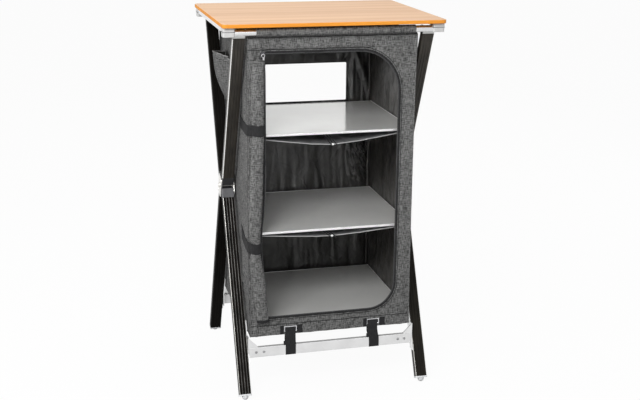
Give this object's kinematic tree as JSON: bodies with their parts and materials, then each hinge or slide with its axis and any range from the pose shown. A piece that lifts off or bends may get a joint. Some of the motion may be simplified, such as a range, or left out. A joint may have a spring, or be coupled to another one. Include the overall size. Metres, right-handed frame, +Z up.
{
  "type": "folding camping cupboard",
  "caption": "Folding camping cupboard: wooden worktop on scissor frames, fabric cabinet with shelves, rolled front door, side pockets and bottom straps.",
  "frame": {"origin": "on the ground, under the middle of the worktop", "axes": "+X to the right as seen from the front, +Y to the back, +Z up"},
  "size_m": [0.6, 0.534, 1.028],
  "materials": {
    "wood_top": "satin lacquered bamboo",
    "black_alloy": "black anodised, brushed",
    "silver": "satin anodised",
    "grey_plastic": "moulded, lightly grained",
    "black_plastic": "moulded",
    "grey_fabric": "heather grey polyester canvas",
    "black_fabric": "coated black polyester",
    "shelf_board": "smooth grey laminate on board"
  },
  "bodies": {
    "front_feet": {"foot_front_left": "grey_plastic", "foot_front_right": "grey_plastic"},
    "front_foot_frame": {"upper_leg_rear_left": "black_alloy", "upper_leg_rear_right": "black_alloy", "lower_leg_front_left": "black_alloy", "lower_leg_front_right": "black_alloy", "upper_cap_rear_left": "black_plastic", "upper_cap_rear_right": "black_plastic", "lower_cap_front_left": "black_plastic", "lower_cap_front_right": "black_plastic", "inner_hinge_plate_left": "silver", "inner_hinge_plate_right": "silver", "pivot_bolt_left": "silver", "pivot_bolt_right": "silver", "top_bar_rear": "silver", "bottom_bar_front": "silver", "bar_bracket_front_left": "silver", "bar_bracket_front_right": "silver", "bottom_strap_left": "black_fabric", "bottom_strap_right": "black_fabric"},
    "rear_foot_frame": {"upper_leg_front_left": "black_alloy", "upper_leg_front_right": "black_alloy", "lower_leg_rear_left": "black_alloy", "lower_leg_rear_right": "black_alloy", "upper_cap_front_left": "black_plastic", "upper_cap_front_right": "black_plastic", "lower_cap_rear_left": "black_plastic", "lower_cap_rear_right": "black_plastic", "outer_hinge_plate_left": "silver", "outer_hinge_plate_right": "silver", "top_bar_front": "silver", "bottom_bar_rear": "silver", "bar_bracket_rear_left": "silver", "bar_bracket_rear_right": "silver", "foot_rear_left": "grey_plastic", "foot_rear_right": "grey_plastic"},
    "cabinet": {"rear_wall": "grey_fabric", "side_wall_left": "grey_fabric", "side_wall_right": "grey_fabric", "roof_panel": "black_fabric", "floor_panel": "black_fabric", "side_pocket_left": "grey_fabric", "side_pocket_right": "grey_fabric"},
    "front_curtain": {"front_panel": "grey_fabric", "rolled_door": "grey_fabric", "strap_buckle_left": "silver", "strap_buckle_right": "silver"},
    "worktop": {"worktop_board": "wood_top", "side_rail_left": "silver", "side_rail_right": "silver", "corner_clamp_front_left": "grey_plastic", "corner_clamp_front_right": "grey_plastic", "corner_clamp_rear_left": "grey_plastic", "corner_clamp_rear_right": "grey_plastic"},
    "upper_shelf": {"shelf_upper": "shelf_board", "shelf_sling_upper": "black_fabric"},
    "middle_shelf": {"shelf_middle": "shelf_board", "shelf_sling_middle": "black_fabric"},
    "lower_shelf": {"shelf_lower": "shelf_board"},
    "zip": {"zip_slider": "silver"}
  },
  "joints": [
    {"name": "foot_rock", "type": "hinge", "parent": "front_feet", "child": "front_foot_frame", "pos_m": [0, -0.258, 0.0085], "axis": [1, 0, 0], "range_deg": [0, 21.62]},
    {"name": "fold", "type": "hinge", "parent": "front_foot_frame", "child": "rear_foot_frame", "pos_m": [0, 0, 0.54502], "axis": [-1, 0, 0], "range_deg": [0, 43.24], "deforming": ["side_wall_left", "side_wall_right", "roof_panel", "floor_panel", "front_panel", "rear_wall", "rolled_door", "side_pocket_left", "side_pocket_right", "shelf_sling_upper", "shelf_sling_middle", "bottom_strap_left", "bottom_strap_right"]},
    {"name": "cabinet_hang", "type": "hinge", "parent": "front_foot_frame", "child": "cabinet", "pos_m": [0, 0.222, 1.003], "axis": [-1, 0, 0], "range_deg": [0, 21.62]},
    {"name": "curtain_hang", "type": "hinge", "parent": "rear_foot_frame", "child": "front_curtain", "pos_m": [0, -0.222, 1.003], "axis": [1, 0, 0], "range_deg": [0, 21.62]},
    {"name": "upper_shelf_tip", "type": "hinge", "parent": "cabinet", "child": "upper_shelf", "pos_m": [0, 0.096, 0.623], "axis": [-1, 0, 0], "range_deg": [0, 90]},
    {"name": "middle_shelf_tip", "type": "hinge", "parent": "cabinet", "child": "middle_shelf", "pos_m": [0, 0.085, 0.352], "axis": [-1, 0, 0], "range_deg": [0, 90]},
    {"name": "lower_shelf_tip", "type": "hinge", "parent": "cabinet", "child": "lower_shelf", "pos_m": [0, 0.196, 0.216], "axis": [-1, 0, 0], "range_deg": [0, 90]},
    {"name": "worktop_lift", "type": "slide", "parent": "cabinet", "child": "worktop", "axis": [0, 0, 1], "range_m": [0, 0.12]},
    {"name": "zip_run", "type": "slide", "parent": "front_curtain", "child": "zip", "axis": [1, 0, 0], "range_m": [0, 0.24]}
  ],
  "couplings": [
    {"joint": "foot_rock", "follows": "fold", "ratio": 0.5},
    {"joint": "cabinet_hang", "follows": "fold", "ratio": 0.5},
    {"joint": "curtain_hang", "follows": "fold", "ratio": 0.5},
    {"joint": "upper_shelf_tip", "follows": "fold", "ratio": 2.0811},
    {"joint": "middle_shelf_tip", "follows": "fold", "ratio": 2.0811},
    {"joint": "lower_shelf_tip", "follows": "fold", "ratio": 2.0811}
  ]
}
